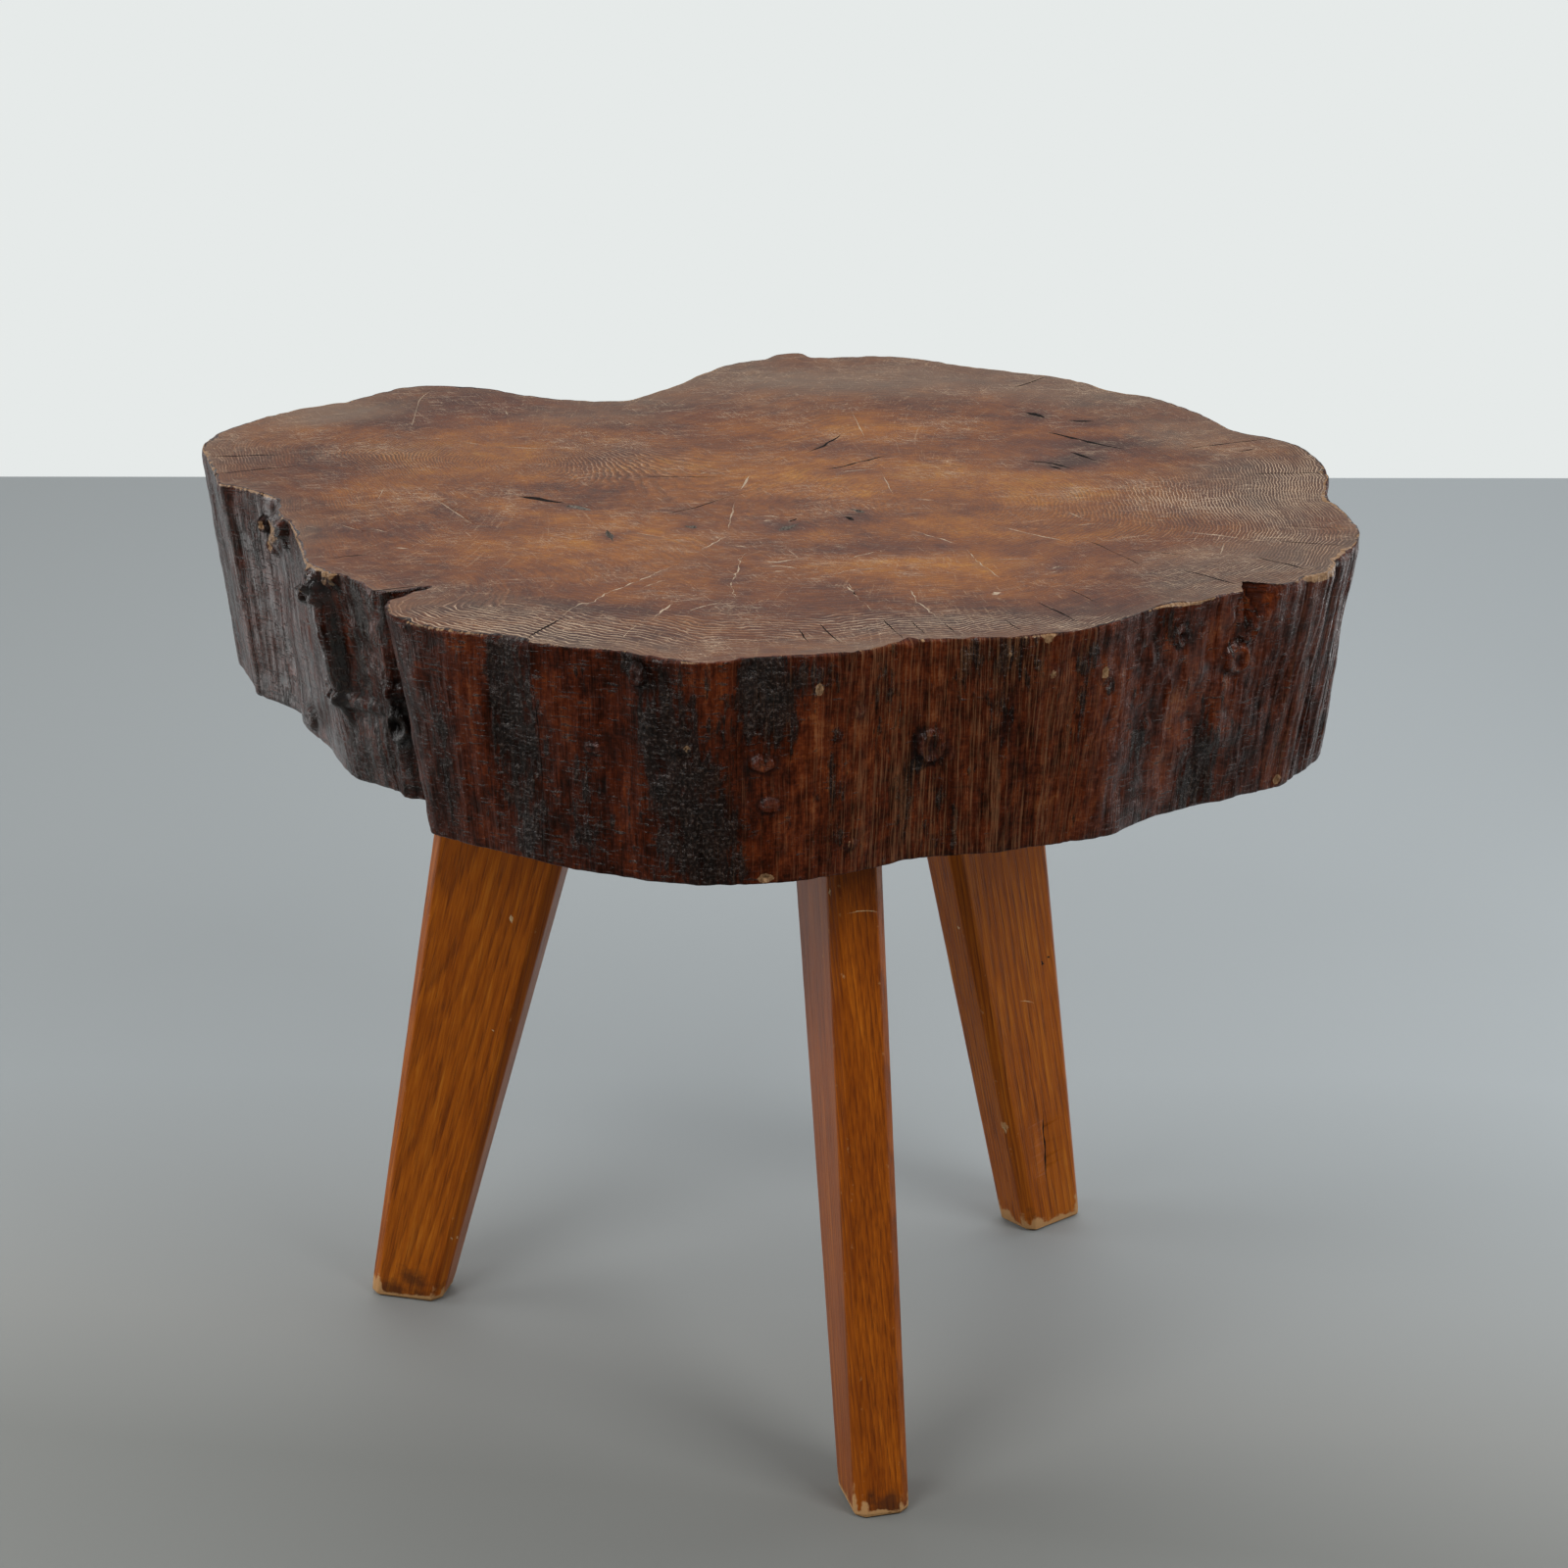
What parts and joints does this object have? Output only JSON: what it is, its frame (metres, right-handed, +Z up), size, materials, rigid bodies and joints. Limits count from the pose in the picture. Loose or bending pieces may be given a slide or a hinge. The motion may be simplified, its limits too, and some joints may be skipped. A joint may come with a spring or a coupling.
{
  "type": "side table",
  "caption": "Low tripod side table: a thick live-edge slice of a tree trunk on splayed, tapered wooden legs with wedged tenons.",
  "frame": {"origin": "on the floor, under the middle of the slab's outline", "axes": "+X along the slab's longest extent to the viewer's right, +Y away from the viewer, +Z up"},
  "size_m": [0.654, 0.513, 0.52],
  "materials": {
    "slab_wood": "varnished, glossy on the natural edge, worn satin on the end-grain top",
    "leg_wood": "orange-brown satin varnish",
    "wedge_wood": "bare split hardwood"
  },
  "bodies": {
    "root": {"slab_top": "slab_wood", "leg_left": "leg_wood", "leg_left_outer_wedge": "wedge_wood", "leg_left_inner_wedge": "wedge_wood", "leg_front": "leg_wood", "leg_front_outer_wedge": "wedge_wood", "leg_front_inner_wedge": "wedge_wood", "leg_right": "leg_wood", "leg_right_outer_wedge": "wedge_wood", "leg_right_inner_wedge": "wedge_wood"}
  },
  "joints": []
}
